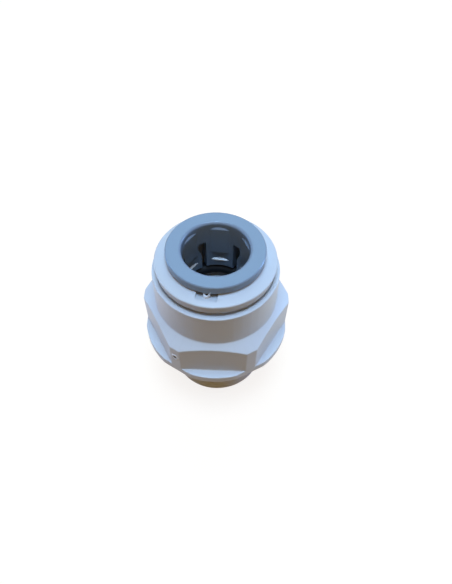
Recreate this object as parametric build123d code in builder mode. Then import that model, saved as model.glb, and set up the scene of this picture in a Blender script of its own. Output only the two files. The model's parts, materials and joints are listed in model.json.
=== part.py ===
"""Push-fit tube connector with a male pipe thread.

The connector stands on the end of its thread, with its axis on +Z, the origin at the centre of
that end face, and a flat of the hexagon facing -Y. The collet is drawn pushed home. Millimetres.
"""

from build123d import *
from math import cos, radians, sin, tan
import os

os.makedirs("parts", exist_ok=True)

# Tube and the bore that guides it
tube_diameter = 12.0
tube_clearance = 0.1
tube_seat_length = 6.7
tube_lead_in = 0.3

# Threaded spigot and flange
thread_diameter = 20.955
thread_length = 14.3
thread_chamfer = 0.9
flange_diameter = 30.6
flange_thickness = 1.8
flange_chamfer = 0.2

# Water way through the spigot
stop_width = 1.2
stop_thickness = 3.5
outlet_wall = 2.5

# Hexagon
hex_across_flats = 27.0
hex_across_corners = 29.9
hex_height = 8.7
hex_cone_angle = 34.0

# Socket wall above the hexagon
socket_height = 7.75
socket_wall = 1.88
socket_draft = 0.23
socket_edge_chamfer = 0.15

# Tube seal
seal_section = 2.7
seal_clearance = 0.05
seal_lift = 0.02
seal_headroom = 0.2

# Cap
cap_gap = 0.35
cap_height = 3.1
cap_setback = 0.48
cap_taper = 0.37
cap_crown = 0.5
cap_edge_round = 1.3
cap_bore_chamfer = 0.2
cap_spigot_length = 3.6
cap_spigot_lip = 1.0
cap_spigot_clearance = 0.05
cap_spigot_chamfer = 0.3
cap_cone_height = 3.9
cap_cone_spread = 1.0

# Ramped recess in the cap's face, with the stub that the moulding gate leaves in it
recess_width = 3.8
recess_depth = 1.0
recess_rim = 1.3
recess_angle = -97.0
stub_diameter = 1.2
stub_pit_diameter = 0.55
stub_below_face = 0.15
stub_inset = 1.4

# Collet
collet_lift = 0.15
collet_flange_thickness = 1.75
collet_flange_overhang = 1.3
collet_edge_chamfer = 0.18
collet_bore_clearance = 0.3
collet_mouth_round = 0.6
collet_wall = 1.65
collet_clearance = 0.25
collet_travel = 1.8
collet_travel_gap = 0.12
collet_length = 12.55
tip_gap = 0.6
tip_chamfer = 0.45
head_step = 0.8
head_clearance = 0.6

# Fingers of the collet: guide pads inside and the slots between them, straight on one side
finger_count = 6
finger_angle = 85.5
pad_clearance = 0.03
pad_depth = 0.6
pad_top = 1.25
pad_lead_in = 0.42
pad_above_tooth = 2.3
slot_tip_width = 1.03
slot_widening = 0.7
slot_length = 7.4
slot_shoulder_above_tip = 3.75
slot_taper = 1.8
slot_corner_round = 0.5

# Steel teeth
tooth_clearance = 0.05
tooth_thickness = 0.5
tooth_length = 1.5
tooth_width = 3.7
tooth_tilt = 18.0
tooth_above_tip = 2.15
tooth_corner = 0.35
tooth_pocket_clearance = 0.02
scoop_depth = 0.5

# Radii, from the tube outwards
tube_radius = tube_diameter / 2
seat_radius = tube_radius + tube_clearance
passage_radius = seat_radius - stop_width
thread_radius = thread_diameter / 2
outlet_radius = thread_radius - thread_chamfer - outlet_wall
flange_radius = flange_diameter / 2
collet_bore_radius = tube_radius + collet_bore_clearance
pad_face = tube_radius + pad_clearance
neck_radius = collet_bore_radius + collet_wall
head_radius = neck_radius + head_step
cavity_radius = head_radius + head_clearance
cap_bore_radius = neck_radius + collet_clearance
cap_cone_radius = cap_bore_radius + cap_cone_spread
cap_spigot_radius = cap_cone_radius + cap_spigot_lip
cap_seat_radius = cap_spigot_radius + cap_spigot_clearance
socket_top_radius = cap_seat_radius + socket_wall
socket_root_radius = socket_top_radius + socket_draft
cap_radius = socket_top_radius - cap_setback
cap_base_radius = cap_radius - cap_taper
collet_flange_radius = neck_radius + collet_flange_overhang
seal_ring_radius = tube_radius + seal_section / 2
seal_housing_radius = tube_radius + seal_section + seal_clearance

# Heights, from the thread end upwards
flange_base = thread_length
flange_top = flange_base + flange_thickness
hex_top = flange_top + hex_height
ledge = hex_top + socket_height
cap_seat = ledge - cap_spigot_length
cap_base = ledge + cap_gap
cap_top = cap_base + cap_height
cone_top = cap_seat + cap_cone_height
collet_base = cap_top + collet_lift
collet_top = collet_base + collet_flange_thickness

# Heights inside, from the collet's tips downwards
collet_tip = collet_top - collet_length
seal_top = collet_tip - tip_gap
cavity_floor = seal_top + seal_headroom
seal_seat = seal_top - seal_section - seal_lift
tube_stop = seal_seat - tube_seat_length
outlet_top = tube_stop - stop_thickness

# The collet's cone is parallel to the cap's, and nearly meets it at the end of the travel
cone_slope = cap_cone_spread / cap_cone_height
neck_base = cone_top - collet_travel + (collet_clearance - collet_travel_gap) / cone_slope
head_top = neck_base - head_step / cone_slope
tooth_edge_radius = tube_radius + tooth_clearance
tooth_height = collet_tip + tooth_above_tip


def half_section(*corners):
    """Closed section on the XZ plane from (radius, height, corner round) corners."""
    with BuildSketch(Plane.XZ) as section:
        with BuildLine():
            FilletPolyline(
                *[(radius, height) for radius, height, _ in corners],
                radius=[corner_round for _, _, corner_round in corners],
                close=True,
            )
        make_face()
    return section.sketch


# Body: socket, hexagon, flange and spigot in one moulding
hex_base = flange_top - flange_chamfer
hex_cone_reach = flange_radius + flange_thickness
hex_cone_drop = (hex_cone_reach - socket_root_radius) * tan(radians(hex_cone_angle))

with BuildPart() as body:
    with BuildSketch(Plane.XY.offset(hex_base)):
        RegularPolygon(hex_across_flats / 2, 6, major_radius=False)
    extrude(amount=hex_top - hex_base)
    revolve(
        half_section(
            (socket_root_radius, hex_top, 0),
            (hex_cone_reach, hex_top, 0),
            (hex_cone_reach, hex_top - hex_cone_drop, 0),
        ),
        axis=Axis.Z,
        mode=Mode.SUBTRACT,
    )
    revolve(
        half_section(
            (0, 0, 0),
            (thread_radius - thread_chamfer, 0, 0),
            (thread_radius, thread_chamfer, 0),
            (thread_radius, flange_base, 0),
            (flange_radius - flange_chamfer, flange_base, 0),
            (flange_radius, flange_base + flange_chamfer, 0),
            (flange_radius, flange_top - flange_chamfer, 0),
            (flange_radius - flange_chamfer, flange_top, 0),
            (socket_root_radius, flange_top, 0),
            (socket_root_radius, hex_top, 0),
            (socket_top_radius, ledge - socket_edge_chamfer, 0),
            (socket_top_radius - socket_edge_chamfer, ledge, 0),
            (0, ledge, 0),
        ),
        axis=Axis.Z,
    )
    with BuildSketch():
        RegularPolygon(hex_across_corners / 2, 6, major_radius=False, rotation=30)
    extrude(amount=ledge, mode=Mode.INTERSECT)
    revolve(
        half_section(
            (0, 0, 0),
            (outlet_radius, 0, 0),
            (outlet_radius, outlet_top, 0),
            (passage_radius, outlet_top, 0),
            (passage_radius, tube_stop, 0),
            (seat_radius, tube_stop, 0),
            (seat_radius, seal_seat - tube_lead_in, 0),
            (seat_radius + tube_lead_in, seal_seat, 0),
            (seal_housing_radius, seal_seat, 0),
            (seal_housing_radius, cavity_floor, 0),
            (cavity_radius, cavity_floor, 0),
            (cavity_radius, cap_seat, 0),
            (cap_seat_radius, cap_seat, 0),
            (cap_seat_radius, ledge, 0),
            (0, ledge, 0),
        ),
        axis=Axis.Z,
        mode=Mode.SUBTRACT,
    )
body.part.label = "body"
export_step(body.part, "parts/body.step")

# Tube seal: an O-ring on the shoulder above the tube's seat
with BuildPart() as tube_seal:
    with BuildSketch(Plane.XZ):
        with Locations((seal_ring_radius, seal_seat + seal_lift + seal_section / 2)):
            Circle(seal_section / 2)
    revolve(axis=Axis.Z)
tube_seal.part.label = "tube_seal"
export_step(tube_seal.part, "parts/tube_seal.step")

# Cap: a ring with a spigot in the socket and the cone that closes the fingers
face_radius = cap_bore_radius + cap_bore_chamfer
recess_reach = cap_radius - recess_rim
recess_floor = cap_top - recess_depth
recess_end = cap_top - cap_crown * (recess_reach - face_radius) / (cap_radius - face_radius)
stub_radius = recess_reach - stub_inset
stub_top = cap_top - stub_below_face

with BuildPart() as recess:
    with BuildSketch(Plane.XZ):
        with BuildLine():
            Polyline(
                (0, recess_floor),
                (cap_bore_radius, recess_floor),
                (recess_reach, recess_end),
                (recess_reach, cap_top),
                (0, cap_top),
                close=True,
            )
        make_face()
    extrude(amount=recess_width / 2, both=True)

with BuildPart() as cap:
    revolve(
        half_section(
            (face_radius, cap_top, 0),
            (cap_bore_radius, cap_top - cap_bore_chamfer, 0),
            (cap_bore_radius, cone_top, 0),
            (cap_cone_radius, cap_seat, 0),
            (cap_spigot_radius - cap_spigot_chamfer, cap_seat, 0),
            (cap_spigot_radius, cap_seat + cap_spigot_chamfer, 0),
            (cap_spigot_radius, cap_base, 0),
            (cap_base_radius, cap_base, 0),
            (cap_radius, cap_top - cap_crown, cap_edge_round),
        ),
        axis=Axis.Z,
    )
    add(recess.part, rotation=(0, 0, recess_angle), mode=Mode.SUBTRACT)
    with BuildSketch(Plane.XY.offset(recess_floor)):
        with PolarLocations(stub_radius, 1, start_angle=recess_angle):
            Circle(stub_diameter / 2)
            Circle(stub_pit_diameter / 2, mode=Mode.SUBTRACT)
    extrude(amount=stub_top - recess_floor)
cap.part.label = "cap"
export_step(cap.part, "parts/cap.step")

# Guide pad: a flat face inside a finger, with a sloping top that leads the tube in
pad_back = pad_face + pad_depth
pad_high = collet_top - pad_top
pad_low = tooth_height + pad_above_tooth
pad_half_width = (collet_bore_radius**2 - pad_face**2) ** 0.5 + collet_bore_clearance / 2
pad_slope_run = collet_bore_radius - pad_face

with BuildPart() as pad:
    with BuildSketch(Plane.XZ):
        with BuildLine():
            Polyline(
                (pad_face, pad_low),
                (pad_face, pad_high - pad_lead_in),
                (pad_face + pad_slope_run, pad_high),
                (pad_back, pad_high),
                (pad_back, pad_low),
                close=True,
            )
        make_face()
    extrude(amount=pad_half_width, both=True)

# Tooth: a flat steel plate, its inner edge straight and lower than its outer edge
tooth_plane = Plane(
    origin=(tooth_edge_radius, 0, tooth_height),
    x_dir=(cos(radians(tooth_tilt)), 0, sin(radians(tooth_tilt))),
    z_dir=(-sin(radians(tooth_tilt)), 0, cos(radians(tooth_tilt))),
)

with BuildPart() as tooth:
    with BuildSketch(tooth_plane):
        with Locations((tooth_length / 2, 0)):
            Rectangle(tooth_length, tooth_width)
    extrude(amount=-tooth_thickness)
    chamfer(tooth.edges().filter_by(Axis.Y, reverse=True).group_by(Axis.X)[-1], tooth_corner)

with BuildPart() as tooth_pocket:
    with BuildSketch(tooth_plane.offset(tooth_pocket_clearance)):
        with Locations((tooth_length / 2, 0)):
            Rectangle(tooth_length + 2 * tooth_pocket_clearance, tooth_width + 2 * tooth_pocket_clearance)
    extrude(amount=-tooth_thickness - 2 * tooth_pocket_clearance)

# Slot between two fingers, straight on one side and wider towards its upper end on the other
slot_shoulder = collet_tip + slot_shoulder_above_tip
slot_half_width = slot_tip_width / 2
slot_reach = slot_half_width + slot_widening

with BuildPart() as slot:
    with BuildSketch(Plane.YZ):
        with BuildLine():
            FilletPolyline(
                (-slot_half_width, collet_tip - tip_gap),
                (-slot_half_width, collet_tip + slot_length),
                (slot_reach, collet_tip + slot_length),
                (slot_reach, slot_shoulder + slot_taper),
                (slot_half_width, slot_shoulder),
                (slot_half_width, collet_tip - tip_gap),
                radius=[0, slot_corner_round / 2, slot_corner_round, 0, 0, 0],
                close=True,
            )
        make_face()
    extrude(amount=cavity_radius)

with BuildPart() as opposite_slot:
    mirror(slot.part, about=Plane.XZ)

# Collet: flange, neck and six fingers with heads that ride up the cap's cone
finger_pitch = 360 / finger_count
scoop_half_width = tooth_width / 2
scoop_radius = (scoop_half_width**2 + scoop_depth**2) / (2 * scoop_depth)
scoop_centre = tooth_edge_radius + scoop_depth - scoop_radius

with BuildPart() as collet:
    revolve(
        half_section(
            (collet_bore_radius, collet_top, collet_mouth_round),
            (collet_bore_radius, collet_tip + tip_chamfer / 2, 0),
            (collet_bore_radius + tip_chamfer / 2, collet_tip, 0),
            (head_radius - tip_chamfer, collet_tip, 0),
            (head_radius, collet_tip + tip_chamfer, 0),
            (head_radius, head_top, 0),
            (neck_radius, neck_base, 0),
            (neck_radius, collet_base, 0),
            (collet_flange_radius - collet_edge_chamfer, collet_base, 0),
            (collet_flange_radius, collet_base + collet_edge_chamfer, 0),
            (collet_flange_radius, collet_top - collet_edge_chamfer, 0),
            (collet_flange_radius - collet_edge_chamfer, collet_top, 0),
        ),
        axis=Axis.Z,
    )
    with PolarLocations(0, finger_count, start_angle=finger_angle):
        add(pad.part)
    with BuildSketch(Plane.XY.offset(tooth_height)):
        with PolarLocations(scoop_centre, finger_count, start_angle=finger_angle):
            Circle(scoop_radius)
    extrude(amount=pad_above_tooth, mode=Mode.SUBTRACT)
    with PolarLocations(0, finger_count, start_angle=finger_angle):
        add(tooth_pocket.part, mode=Mode.SUBTRACT)
    with PolarLocations(0, finger_count // 2, start_angle=finger_angle + finger_pitch / 2):
        add(slot.part, mode=Mode.SUBTRACT)
    with PolarLocations(0, finger_count // 2, start_angle=finger_angle - finger_pitch / 2):
        add(opposite_slot.part, mode=Mode.SUBTRACT)
collet.part.label = "collet"
export_step(collet.part, "parts/collet.step")

# Grip teeth: one in each finger
for number in range(1, finger_count + 1):
    node = f"grip_tooth_{number}"
    with BuildPart() as grip_tooth:
        add(tooth.part, rotation=(0, 0, finger_angle + (number - 1) * finger_pitch))
    grip_tooth.part.label = node
    export_step(grip_tooth.part, f"parts/{node}.step")
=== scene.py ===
import bpy
import json
import numpy as np
from math import pi, radians, tan
from mathutils import Matrix, Vector


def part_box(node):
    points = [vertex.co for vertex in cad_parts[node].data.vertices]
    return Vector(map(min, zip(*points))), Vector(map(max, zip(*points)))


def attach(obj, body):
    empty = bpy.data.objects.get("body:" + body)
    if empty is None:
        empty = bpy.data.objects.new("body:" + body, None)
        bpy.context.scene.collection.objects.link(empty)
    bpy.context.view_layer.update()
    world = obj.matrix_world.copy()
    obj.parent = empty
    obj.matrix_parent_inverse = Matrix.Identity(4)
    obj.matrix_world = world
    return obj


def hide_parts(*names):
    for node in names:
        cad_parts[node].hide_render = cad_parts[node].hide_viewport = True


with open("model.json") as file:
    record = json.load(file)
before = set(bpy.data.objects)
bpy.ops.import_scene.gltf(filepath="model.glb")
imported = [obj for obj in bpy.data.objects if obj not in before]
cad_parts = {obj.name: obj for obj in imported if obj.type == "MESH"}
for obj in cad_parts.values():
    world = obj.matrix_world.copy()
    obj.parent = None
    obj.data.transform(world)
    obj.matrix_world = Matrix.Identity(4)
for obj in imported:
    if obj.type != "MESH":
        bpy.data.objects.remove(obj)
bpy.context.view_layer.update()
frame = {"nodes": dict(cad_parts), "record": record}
mounts = {mount["name"]: mount for mount in frame["record"]["mounts"]}

# Body: one moulding in pale grey acetal, from a split tool with a cored bore.
# The socket takes the tube, the hexagon takes the spanner, with flats on its corners and its flange,
# and the male pipe thread screws into the port. It has soft crests and runs out under the flange.
body_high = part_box("body")[1]
body_colour = (0.6, 0.61, 0.63)
thread_radius = mounts["male_thread"]["dims"]["r_mm"] / 1000
thread_pitch = 0.001814
thread_depth = 0.00116
thread_crest_roundness = 0.93
thread_start_turn = 0.45
thread_chamfer = 0.00075
thread_plain = 0.0006
thread_runout = 0.0018
thread_rows_per_turn = 18
thread_softness = 0.00006
outlet_radius = 0.0070775
outlet_edge_round = 0.0002
stop_thickness = 0.0035
passage_radius = 0.0049
tube_seat = mounts["tube_socket"]
tube_seat_radius = tube_seat["dims"]["r_mm"] / 1000
tube_seat_length = tube_seat["dims"]["length_mm"] / 1000
tube_lead_in = 0.0003
tube_stop = tube_seat["pos_m"][2] - tube_seat_length / 2
seal_seat = tube_stop + tube_seat_length + tube_lead_in
seal_housing_radius = 0.00875
seal_headroom = 0.0002
cavity_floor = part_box("tube_seal")[1].z + seal_headroom
cavity_radius = 0.00935
cap_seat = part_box("cap")[0].z
cap_seat_radius = 0.01025
flange_radius = body_high.y
flange_base = mounts["flange_face"]["pos_m"][2]
flange_thickness = 0.0018
flange_top = flange_base + flange_thickness
flange_round = 0.00025
flange_root_round = 0.00015
hex_apothem = 0.0135
hex_corner_apothem = body_high.x
hex_height = 0.0087
hex_top = flange_top + hex_height
hex_cone_slope = tan(radians(34))
hex_corner_softness = 0.00004
hex_edge_round = 0.00018
hex_root_round = 0.0002
hex_column_degrees = (0, 17, 18.4, 25, 26.5, 30)
hex_column_steps = (6, 5, 3, 8, 3)
socket_root_radius = 0.01236
socket_top_radius = 0.0122
socket_root_round = 0.00025
socket_edge_round = 0.0002
socket_mouth_round = 0.0001
ledge = body_high.z
ledge_groove_radius = 0.01122
ledge_groove_depth = 0.0006
hidden_step = 0.00001
step_round_share = 0.45


def soft_minimum(first, second, softness):
    """The smaller of two values, with the change from one to the other rounded off."""
    return -softness * np.logaddexp(-first / softness, -second / softness)


def unit(vectors):
    """Vectors of length one, for a pair of rows of coordinates."""
    return vectors / np.linalg.norm(vectors, axis=0)


def skin(name, corners, angle_at, steps=5):
    """Closed skin swept round the axis through section corners of (radius, height, setback).

    The corners go up the outside and down the inside. Each value is one number or one for each
    column of faces, and a setback rounds its corner, starting that far from it on both sides.
    """
    blank = np.zeros_like(angle_at(corners[0][0]))
    table = np.array([np.broadcast_arrays(*corner, blank)[:3] for corner in corners])
    rows = []
    for index, corner in enumerate(table[:, :2]):
        setback = table[index, 2]
        if not setback.any():
            rows.append(corner)
            continue
        before = table[index - 1, :2]
        after = table[(index + 1) % len(table), :2]
        start = corner + setback * unit(before - corner)
        end = corner + setback * unit(after - corner)
        for share in np.linspace(0, 1, steps + 1):
            rows.append((1 - share) ** 2 * start + 2 * share * (1 - share) * corner + share**2 * end)
    radius, height = np.array(rows).transpose(1, 0, 2)
    angle = np.array([angle_at(row) for row in radius])
    points = np.stack([radius * np.cos(angle), radius * np.sin(angle), height], axis=-1)

    number = np.arange(radius.size).reshape(radius.shape)
    above = np.roll(number, -1, axis=0)
    beside = np.roll(number, -1, axis=1)
    faces = np.stack([number, beside, np.roll(above, -1, axis=1), above], axis=-1)
    mesh = bpy.data.meshes.new(name)
    mesh.from_pydata(points.reshape(-1, 3).tolist(), [], faces.reshape(-1, 4).tolist())
    mesh.shade_smooth()
    mesh.set_sharp_from_angle(angle=radians(35))
    piece = bpy.data.objects.new(name, mesh)
    bpy.context.scene.collection.objects.link(piece)
    normals = piece.modifiers.new("even_shading", "WEIGHTED_NORMAL")
    normals.keep_sharp = True
    return piece


def moulded_plastic(name, colour, roughness, specular):
    """Satin acetal: faint flow mottling, fine tool texture, and edges painted a little paler, partly
    as rubbing wear and partly as a painted highlight on their rounding.
    """
    material = bpy.data.materials.new(name)
    material.use_nodes = True
    nodes = material.node_tree.nodes
    link = material.node_tree.links.new
    shader = nodes["Principled BSDF"]
    shader.inputs["IOR"].default_value = 1.48
    shader.inputs["Specular IOR Level"].default_value = specular
    place = nodes.new("ShaderNodeTexCoord")

    flow = nodes.new("ShaderNodeTexNoise")
    flow.inputs["Scale"].default_value = 240
    flow.inputs["Detail"].default_value = 4
    link(place.outputs["Object"], flow.inputs["Vector"])
    mottle = nodes.new("ShaderNodeMix")
    mottle.data_type = "RGBA"
    mottle.inputs["A"].default_value = [*(0.975 * value for value in colour), 1]
    mottle.inputs["B"].default_value = [*(1.025 * value for value in colour), 1]
    link(flow.outputs["Fac"], mottle.inputs["Factor"])

    rounding = nodes.new("ShaderNodeBevel")
    rounding.samples = 6
    rounding.inputs["Radius"].default_value = 0.00012
    surface = nodes.new("ShaderNodeNewGeometry")
    bend = nodes.new("ShaderNodeVectorMath")
    bend.operation = "DOT_PRODUCT"
    link(rounding.outputs["Normal"], bend.inputs[0])
    link(surface.outputs["Normal"], bend.inputs[1])
    edge = nodes.new("ShaderNodeMapRange")
    edge.inputs["From Min"].default_value = 0.99
    edge.inputs["From Max"].default_value = 0.8
    edge.inputs["To Max"].default_value = 0.5
    link(bend.outputs["Value"], edge.inputs["Value"])
    # Edges are painted paler: partly rubbing wear, partly a painted highlight where the rounding would
    # catch the light.
    rubbed_and_highlit = nodes.new("ShaderNodeMix")
    rubbed_and_highlit.data_type = "RGBA"
    rubbed_and_highlit.inputs["B"].default_value = [*(0.85 * value + 0.13 for value in colour), 1]
    link(edge.outputs["Result"], rubbed_and_highlit.inputs["Factor"])
    link(mottle.outputs["Result"], rubbed_and_highlit.inputs["A"])
    link(rubbed_and_highlit.outputs["Result"], shader.inputs["Base Color"])

    sheen = nodes.new("ShaderNodeTexNoise")
    sheen.inputs["Scale"].default_value = 700
    sheen.inputs["Detail"].default_value = 5
    link(place.outputs["Object"], sheen.inputs["Vector"])
    gloss = nodes.new("ShaderNodeMapRange")
    gloss.inputs["To Min"].default_value = roughness - 0.01
    gloss.inputs["To Max"].default_value = roughness + 0.01
    link(sheen.outputs["Fac"], gloss.inputs["Value"])
    link(gloss.outputs["Result"], shader.inputs["Roughness"])

    grain = nodes.new("ShaderNodeTexNoise")
    grain.inputs["Scale"].default_value = 7000
    grain.inputs["Detail"].default_value = 3
    link(place.outputs["Object"], grain.inputs["Vector"])
    relief = nodes.new("ShaderNodeBump")
    relief.inputs["Strength"].default_value = 0.06
    relief.inputs["Distance"].default_value = 0.00002
    link(grain.outputs["Fac"], relief.inputs["Height"])
    link(rounding.outputs["Normal"], relief.inputs["Normal"])
    link(relief.outputs["Normal"], shader.inputs["Normal"])
    return material


half_sector = np.zeros(1)
for first, last, count in zip(hex_column_degrees, hex_column_degrees[1:], hex_column_steps):
    half_sector = np.concatenate([half_sector, np.linspace(first, last, count + 1)[1:]])
sector = np.concatenate([-half_sector[:0:-1], half_sector[:-1]])
body_angles = np.radians(np.concatenate([30 + 60 * side + sector for side in range(6)]))
flat_angles = np.radians(np.tile(sector, 6))
corner_reach = hex_corner_apothem / np.cos(pi / 6 - np.abs(flat_angles))
hex_radius = soft_minimum(hex_apothem / np.cos(flat_angles), corner_reach, hex_corner_softness)
flange_reach = soft_minimum(flange_radius, corner_reach, hex_corner_softness)
hex_edge = hex_top - (hex_radius - socket_root_radius) * hex_cone_slope
step_round_limit = step_round_share * (flange_reach - hex_radius + hidden_step)
crest_share = 2 * np.arcsin(thread_crest_roundness)
thread_rows = []
for height in np.arange(0, flange_base - thread_plain, thread_pitch / thread_rows_per_turn):
    turn = height / thread_pitch - body_angles / (2 * pi) + thread_start_turn
    groove = 0.5 - np.arcsin(thread_crest_roundness * np.cos(2 * pi * turn)) / crest_share
    runout = np.clip((flange_base - thread_plain - height) / thread_runout, 0, 1)
    end_cone = thread_radius - thread_chamfer + height
    thread_side = thread_radius - thread_depth * runout * groove
    thread_rows.append((soft_minimum(thread_side, end_cone, thread_softness), height, 0))

body = skin(
    "moulded_body",
    [
        (outlet_radius, 0, outlet_edge_round),
        *thread_rows,
        (thread_radius, flange_base, flange_root_round),
        (flange_reach, flange_base, flange_round),
        (flange_reach, flange_top, np.minimum(flange_round, step_round_limit)),
        (hex_radius, flange_top + hidden_step, np.minimum(hex_root_round, step_round_limit)),
        (hex_radius, hex_edge, hex_edge_round),
        (socket_root_radius, hex_top, socket_root_round),
        (socket_top_radius, ledge, socket_edge_round),
        (ledge_groove_radius, ledge, socket_mouth_round),
        (ledge_groove_radius, ledge - ledge_groove_depth, socket_mouth_round),
        (cap_seat_radius, ledge - ledge_groove_depth, 0),
        (cap_seat_radius, cap_seat, 0),
        (cavity_radius, cap_seat, 0),
        (cavity_radius, cavity_floor, 0),
        (seal_housing_radius, cavity_floor, 0),
        (seal_housing_radius, seal_seat, 0),
        (tube_seat_radius + tube_lead_in, seal_seat, 0),
        (tube_seat_radius, seal_seat - tube_lead_in, 0),
        (tube_seat_radius, tube_stop, 0),
        (passage_radius, tube_stop, 0),
        (passage_radius, tube_stop - stop_thickness, 0),
        (outlet_radius, tube_stop - stop_thickness, 0),
    ],
    lambda radius: body_angles,
)
body_plastic = moulded_plastic("body_plastic", body_colour, 0.42, 0.4)
body.data.materials.append(body_plastic)
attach(body, "fitting")
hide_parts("body")

# Gate scar: the small crater left on a corner of the hexagon where the moulding gate broke off.
# It is part of the same acetal, with a proud torn rim and a pit whose floor is a dark disc of painted
# shade.
scar_angle = radians(-120)
scar_height = 0.0201
scar_rim_radius = 0.0007
scar_pit_radius = 0.00045
scar_rim_height = 0.00011
scar_rim_round = 0.00005
scar_pit_round = 0.00004
scar_foot_radius = 1.3 * scar_rim_radius
scar_floor_radius = 0.95 * scar_pit_radius
scar_floor_height = 0.00001
scar_centre_radius = 0.1 * scar_pit_radius
scar_root = 0.0002
scar_columns = np.linspace(0, 2 * pi, 28, endpoint=False)
scar_wobble = 1 + 0.14 * np.sin(2 * scar_columns + 1) + 0.08 * np.sin(5 * scar_columns)
scar = skin(
    "gate_scar",
    [
        (scar_centre_radius, -scar_root, 0),
        (scar_foot_radius, -scar_root, 0),
        (scar_foot_radius, 0, 0),
        (scar_rim_radius * scar_wobble, scar_rim_height * scar_wobble, scar_rim_round),
        (scar_pit_radius * scar_wobble, scar_rim_height * scar_wobble, scar_pit_round),
        (scar_floor_radius, scar_floor_height, 0),
        (scar_centre_radius, scar_floor_height, 0),
    ],
    lambda radius: scar_columns,
)
outward = Matrix.Rotation(scar_angle, 4, "Z") @ Matrix.Rotation(pi / 2, 4, "Y")
scar_lift = Matrix.Translation((0, 0, scar_height))
scar_place = scar_lift @ outward @ Matrix.Translation((0, 0, hex_corner_apothem))
scar.data.transform(scar_place)
scar_plastic = moulded_plastic("scar_plastic", (0.8, 0.81, 0.83), 0.5, 0.4)
scar.data.materials.append(scar_plastic)
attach(scar, "fitting")

# The scar pit's floor: a dark disc that is painted shade in the pit.
shade_disc_rim_height = 0.00004
shade_disc_centre_height = 0.00002
shade_disc_centre_radius = 0.05 * scar_pit_radius
pit_shade = bpy.data.materials.new("pit_shade")
pit_shade.use_nodes = True
pit_shade_shader = pit_shade.node_tree.nodes["Principled BSDF"]
pit_shade_shader.inputs["Base Color"].default_value = (0.09, 0.075, 0.07, 1)
pit_shade_shader.inputs["Roughness"].default_value = 0.8
scar_pit = skin(
    "gate_scar_pit",
    [
        (shade_disc_centre_radius, 0, 0),
        (scar_pit_radius * scar_wobble, 0, 0),
        (scar_pit_radius * scar_wobble, shade_disc_rim_height, 0),
        (shade_disc_centre_radius, shade_disc_centre_height, 0),
    ],
    lambda radius: scar_columns,
)
scar_pit.data.transform(scar_place)
scar_pit.data.materials.append(pit_shade)
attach(scar_pit, "fitting")

# Tube seal: a black nitrile O-ring, moulded and lightly greased.
# It drops on to its shoulder in the body before the collet goes in.
seal_rubber = bpy.data.materials.new("seal_rubber")
seal_rubber.use_nodes = True
rubber_nodes = seal_rubber.node_tree.nodes
rubber = rubber_nodes["Principled BSDF"]
rubber.inputs["Base Color"].default_value = (0.01, 0.01, 0.012, 1)
rubber.inputs["Specular IOR Level"].default_value = 0.25
grease = rubber_nodes.new("ShaderNodeTexNoise")
grease.inputs["Scale"].default_value = 900
grease.inputs["Detail"].default_value = 4
smear = rubber_nodes.new("ShaderNodeMapRange")
smear.inputs["To Min"].default_value = 0.35
smear.inputs["To Max"].default_value = 0.65
seal_rubber.node_tree.links.new(grease.outputs["Fac"], smear.inputs["Value"])
seal_rubber.node_tree.links.new(smear.outputs["Result"], rubber.inputs["Roughness"])
frame["nodes"]["tube_seal"].material_slots[0].material = seal_rubber

# Collet: the blue-grey acetal release sleeve, moulded with six sprung fingers.
# It is pushed up into the cap from below and slides in it, with its flange left outside.
collet_plastic = moulded_plastic("collet_plastic", (0.197, 0.254, 0.33), 0.28, 0.5)
frame["nodes"]["collet"].material_slots[0].material = collet_plastic

# Grip teeth: small stamped plates of bright stainless steel, one moulded into each finger.
# Their straight inner edges bite into the tube when the cap's cone closes the fingers.
tooth_steel = bpy.data.materials.new("tooth_steel")
tooth_steel.use_nodes = True
steel_nodes = tooth_steel.node_tree.nodes
steel_link = tooth_steel.node_tree.links.new
steel = steel_nodes["Principled BSDF"]
steel.inputs["Base Color"].default_value = (0.42, 0.41, 0.4, 1)
steel.inputs["Metallic"].default_value = 1
drawn = steel_nodes.new("ShaderNodeTexNoise")
drawn.inputs["Scale"].default_value = 2500
drawn.inputs["Detail"].default_value = 3
brushing = steel_nodes.new("ShaderNodeMapRange")
brushing.inputs["To Min"].default_value = 0.42
brushing.inputs["To Max"].default_value = 0.58
steel_link(drawn.outputs["Fac"], brushing.inputs["Value"])
steel_link(brushing.outputs["Result"], steel.inputs["Roughness"])
for name, node in frame["nodes"].items():
    if name.startswith("grip_tooth"):
        node.material_slots[0].material = tooth_steel

# Cap: a retaining ring in the same pale acetal, pressed and welded into the socket.
# A ramped recess in its face leaves room for the stub of its moulding gate.
cap_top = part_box("cap")[1].z
cap_gap = 0.0007
cap_base = ledge + cap_gap
cap_base_radius = 0.0112
cap_base_round = 0.00015
cap_corner_radius = 0.01154
cap_crown = 0.00074
cap_edge_round = 0.0003
cap_bore_radius = 0.0082
cap_bore_round = 0.00018
cap_cone_radius = 0.0092
cap_cone_height = 0.0039
cap_spigot_radius = 0.0102
cap_spigot_chamfer = 0.0003
cap_face_rows = 16
recess_angle = radians(-97)
recess_half_width = 0.0019
recess_depth = 0.001
recess_reach = 0.0103
recess_ramp_softness = 0.00003
recess_edge_softness = 0.00006
recess_edge_columns = 7
recess_floor_columns = 9
recess_margin = radians(18)
cap_columns = 130

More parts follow.
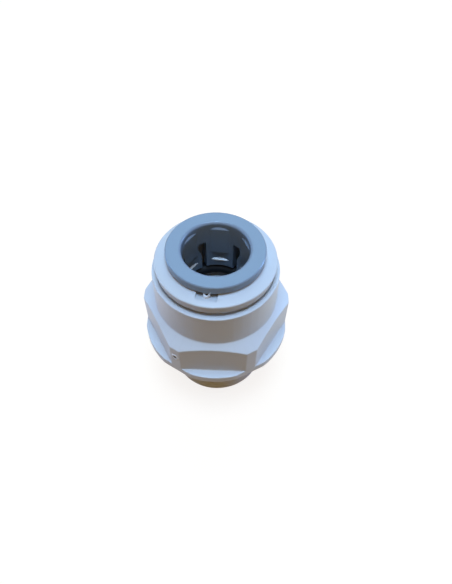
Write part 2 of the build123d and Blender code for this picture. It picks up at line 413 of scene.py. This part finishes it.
edge_offsets = recess_half_width + recess_edge_softness * np.linspace(-1, 1, recess_edge_columns)
floor_offsets = np.linspace(-edge_offsets[0], edge_offsets[0], recess_floor_columns + 2)[1:-1]
recess_offsets = np.concatenate([-edge_offsets[::-1], floor_offsets, edge_offsets])
plain_angles = np.linspace(recess_margin, 2 * pi - recess_margin, cap_columns)
edge_shares = (edge_offsets[-1] - np.abs(recess_offsets)) / (2 * recess_edge_softness)
recess_shares = np.clip(np.concatenate([edge_shares, np.zeros(cap_columns)]), 0, 1)
recess_shares = recess_shares**2 * (3 - 2 * recess_shares)
crown_slope = cap_crown / (cap_corner_radius - cap_bore_radius)
recess_slope = recess_depth / (recess_reach - cap_bore_radius) - crown_slope


def cap_angles(radius):
    """Column angles of the cap: lines parallel to the recess near it, and spokes elsewhere."""
    widths = np.broadcast_to(radius, recess_shares.shape)[: recess_offsets.size]
    return recess_angle + np.concatenate([np.arcsin(recess_offsets / widths), plain_angles])


def cap_face(radius):
    """Height of the cap's face in each column: a low crown, or the ramp where the recess is."""
    crown = cap_top - crown_slope * (radius - cap_bore_radius)
    reach = radius * np.cos(cap_angles(radius) - recess_angle)
    ramp = cap_top - recess_depth + (reach - cap_bore_radius) * recess_slope
    return crown + recess_shares * (soft_minimum(ramp, crown, recess_ramp_softness) - crown)


face_radii = np.linspace(cap_corner_radius - cap_edge_round, cap_bore_radius, cap_face_rows + 2)[1:-1]
cap = skin(
    "retaining_cap",
    [
        (cap_cone_radius, cap_seat, 0),
        (cap_spigot_radius - cap_spigot_chamfer, cap_seat, 0),
        (cap_spigot_radius, cap_seat + cap_spigot_chamfer, 0),
        (cap_spigot_radius, cap_base, 0),
        (cap_base_radius, cap_base, cap_base_round),
        (cap_corner_radius, cap_top - cap_crown, cap_edge_round),
        *((radius, cap_face(radius), 0) for radius in face_radii),
        (cap_bore_radius, cap_face(cap_bore_radius), cap_bore_round),
        (cap_bore_radius, cap_seat + cap_cone_height, 0),
    ],
    cap_angles,
)
# The cap's colour is the body's acetal made 5% darker, as painted shade on its face.
cap_plastic = moulded_plastic("cap_plastic", (0.57, 0.58, 0.6), 0.4, 0.4)
cap.data.materials.append(cap_plastic)
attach(cap, "fitting")
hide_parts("cap")

# Gate stub: the end of the sprue in the cap's recess, a short tube where it broke off.
# It is the same acetal as the cap, with a soft torn rim and a thin curl of flash beside it.
stub_radius = 0.00062
stub_pit_radius = 0.0003
stub_place_radius = 0.0091
stub_below_face = 0.00004
stub_root = 0.0009
stub_foot_radius = 1.05 * stub_radius
stub_rim_round = 0.00012
stub_rim_wave = 0.00005
stub_columns = np.linspace(0, 2 * pi, 36, endpoint=False)
stub_top = cap_top - stub_below_face + stub_rim_wave * np.sin(2 * stub_columns + 0.6)
stub = skin(
    "gate_stub",
    [
        (stub_pit_radius, cap_top - stub_root, 0),
        (stub_foot_radius, cap_top - stub_root, 0),
        (stub_radius, stub_top, stub_rim_round),
        (stub_pit_radius, stub_top, stub_rim_round),
    ],
    lambda radius: stub_columns,
)
stub_place = Matrix.Rotation(recess_angle, 4, "Z") @ Matrix.Translation((stub_place_radius, 0, 0))
stub.data.transform(stub_place)
torn_plastic = moulded_plastic("torn_plastic", (0.76, 0.77, 0.79), 0.5, 0.4)
stub.data.materials.append(torn_plastic)
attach(stub, "fitting")

# The stub pit's floor: a dark disc that is painted shade in the pit.
stub_pit_depth = 0.00045
stub_pit_floor = cap_top - stub_pit_depth
stub_shade_disc_base = stub_pit_floor - 0.0001
stub_shade_disc_centre_radius = 0.05 * stub_pit_radius
stub_pit = skin(
    "gate_stub_pit",
    [
        (stub_shade_disc_centre_radius, stub_shade_disc_base, 0),
        (stub_pit_radius, stub_shade_disc_base, 0),
        (stub_pit_radius, stub_pit_floor, 0),
        (stub_shade_disc_centre_radius, stub_pit_floor, 0),
    ],
    lambda radius: stub_columns,
)
stub_pit.data.transform(stub_place)
stub_pit.data.materials.append(pit_shade)
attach(stub_pit, "fitting")

whisker_thickness = 0.00006
whisker_points = (
    (0.00948, -96.2, -0.0002),
    (0.00965, -95.2, 0.0002),
    (0.0096, -93.6, 0.0007),
    (0.0095, -92.6, 0.0009),
)
whisker_line = bpy.data.curves.new("gate_whisker", "CURVE")
whisker_line.dimensions = "3D"
whisker_line.bevel_depth = whisker_thickness
whisker_line.bevel_resolution = 3
whisker_line.use_fill_caps = True
strand = whisker_line.splines.new("NURBS")
strand.points.add(len(whisker_points) - 1)
for point, (radius, degrees, rise) in zip(strand.points, whisker_points):
    spot = Matrix.Rotation(radians(degrees), 4, "Z") @ Vector((radius, 0, cap_top + rise))
    point.co = (*spot, 1)
strand.order_u = 3
strand.use_endpoint_u = True
whisker = bpy.data.objects.new("gate_whisker", whisker_line)
bpy.context.scene.collection.objects.link(whisker)
whisker_line.materials.append(torn_plastic)
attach(whisker, "fitting")

# Floor: a plain pale table top, larger than any view of it.
# It is white to the camera and in reflections, with the object's shadow, and throws little light up.
floor_reach = 4.0
floor_glow = 0.84
floor_seen_colour = (0.24, 0.18, 0.13, 1)
floor_bounce_colour = (0.064, 0.01, 0.005, 1)
floor_mesh = bpy.data.meshes.new("floor")
floor_mesh.from_pydata(
    [(x * floor_reach, y * floor_reach, 0) for x, y in ((-1, -1), (1, -1), (1, 1), (-1, 1))],
    [],
    [(0, 1, 2, 3)],
)
floor = bpy.data.objects.new("floor", floor_mesh)
bpy.context.scene.collection.objects.link(floor)


def seen_rays(tree, level):
    """Socket that holds a level for camera, glossy and transmitted rays, and zero for diffuse rays."""
    path = tree.nodes.new("ShaderNodeLightPath")
    total = path.outputs["Is Camera Ray"]
    for ray in ("Is Glossy Ray", "Is Transmission Ray"):
        either = tree.nodes.new("ShaderNodeMath")
        either.operation = "MAXIMUM"
        tree.links.new(total, either.inputs[0])
        tree.links.new(path.outputs[ray], either.inputs[1])
        total = either.outputs["Value"]
    scaled = tree.nodes.new("ShaderNodeMath")
    scaled.operation = "MULTIPLY"
    scaled.inputs[1].default_value = level
    tree.links.new(total, scaled.inputs[0])
    return scaled.outputs["Value"]


floor_paint = bpy.data.materials.new("floor_paint")
floor_paint.use_nodes = True
floor_tree = floor_paint.node_tree
floor_tree.nodes.clear()
matt = floor_tree.nodes.new("ShaderNodeBsdfDiffuse")
tone = floor_tree.nodes.new("ShaderNodeMix")
tone.data_type = "RGBA"
tone.inputs["A"].default_value = floor_bounce_colour
tone.inputs["B"].default_value = floor_seen_colour
floor_tree.links.new(seen_rays(floor_tree, 1), tone.inputs["Factor"])
floor_tree.links.new(tone.outputs["Result"], matt.inputs["Color"])
white = floor_tree.nodes.new("ShaderNodeEmission")
floor_tree.links.new(seen_rays(floor_tree, floor_glow), white.inputs["Strength"])
both = floor_tree.nodes.new("ShaderNodeAddShader")
floor_tree.links.new(matt.outputs["BSDF"], both.inputs[0])
floor_tree.links.new(white.outputs["Emission"], both.inputs[1])
floor_output = floor_tree.nodes.new("ShaderNodeOutputMaterial")
floor_tree.links.new(both.outputs["Shader"], floor_output.inputs["Surface"])
floor_mesh.materials.append(floor_paint)

# Light: a cool soft panel overhead, weaker ones at both sides and behind, and two low cards that
# throw light up on the sides, in a dim warm room. The room is white to the camera and in reflections.
room_colour = (0.345, 0.215, 0.045, 1)
room = bpy.data.worlds.new("room")
room.use_nodes = True
bpy.context.scene.world = room
room_nodes = room.node_tree.nodes
dim = room_nodes["Background"]
dim.inputs["Color"].default_value = room_colour
bright = room_nodes.new("ShaderNodeBackground")
bright.inputs["Color"].default_value = (1, 1, 1, 1)
choice = room_nodes.new("ShaderNodeMixShader")
room.node_tree.links.new(seen_rays(room.node_tree, 1), choice.inputs["Fac"])
room.node_tree.links.new(dim.outputs["Background"], choice.inputs[1])
room.node_tree.links.new(bright.outputs["Background"], choice.inputs[2])
room.node_tree.links.new(choice.outputs["Shader"], room_nodes["World Output"].inputs["Surface"])


def soft_panel(name, place, aim, size, colour, power):
    """Square area lamp that faces a point and isn't seen by the camera."""
    lamp = bpy.data.lights.new(name, "AREA")
    lamp.size = size
    lamp.color = colour
    lamp.energy = power
    panel = bpy.data.objects.new(name, lamp)
    panel.location = place
    panel.rotation_euler = (Vector(place) - Vector(aim)).to_track_quat("Z", "Y").to_euler()
    panel.visible_camera = False
    bpy.context.scene.collection.objects.link(panel)


soft_panel("overhead_panel", (0, -0.09, 0.9), (0, 0, 0), 0.4, (0.37, 0.635, 1.0), 8.7)
soft_panel("back_panel", (0, 0.55, 0.75), (0, 0, 0), 0.5, (0.33, 0.695, 1.0), 2.38)
soft_panel("left_panel", (-0.86, 0.24, 0.14), (0, 0, 0), 0.26, (0.1, 0.41, 1.0), 1.9)
soft_panel("right_panel", (0.86, 0.24, 0.14), (0, 0, 0), 0.26, (0.22, 0.475, 1.0), 4.45)
soft_panel("left_card", (-0.08, 0.01, 0.001), (-0.08, 0.01, 1), 0.09, (0.6, 0.74, 1.0), 0.043)
soft_panel("right_card", (0.08, 0.01, 0.001), (0.08, 0.01, 1), 0.09, (0.9, 1.0, 0.66), 0.0224)

# Camera: close above the front of the connector, at the photograph's angle.
# Its focal length is given in pixels of an image 584 pixels high.
image_height = 584
focal_pixels = 453
camera_turn = Matrix.Rotation(radians(1.44), 4, "Z")
camera_tilt = Matrix.Rotation(radians(36.43), 4, "X")
camera_roll = Matrix.Rotation(radians(0.823), 4, "Z")
camera_place = Matrix.Translation((0.00199, -0.05505, 0.099))
lens = bpy.data.cameras.new("camera")
lens.sensor_width = 36
lens.lens = lens.sensor_width * focal_pixels / image_height
lens.clip_start = 0.001
camera = bpy.data.objects.new("camera", lens)
camera.matrix_world = camera_turn @ camera_place @ camera_tilt @ camera_roll
bpy.context.scene.collection.objects.link(camera)
bpy.context.scene.camera = camera
bpy.context.scene.view_settings.view_transform = "Standard"
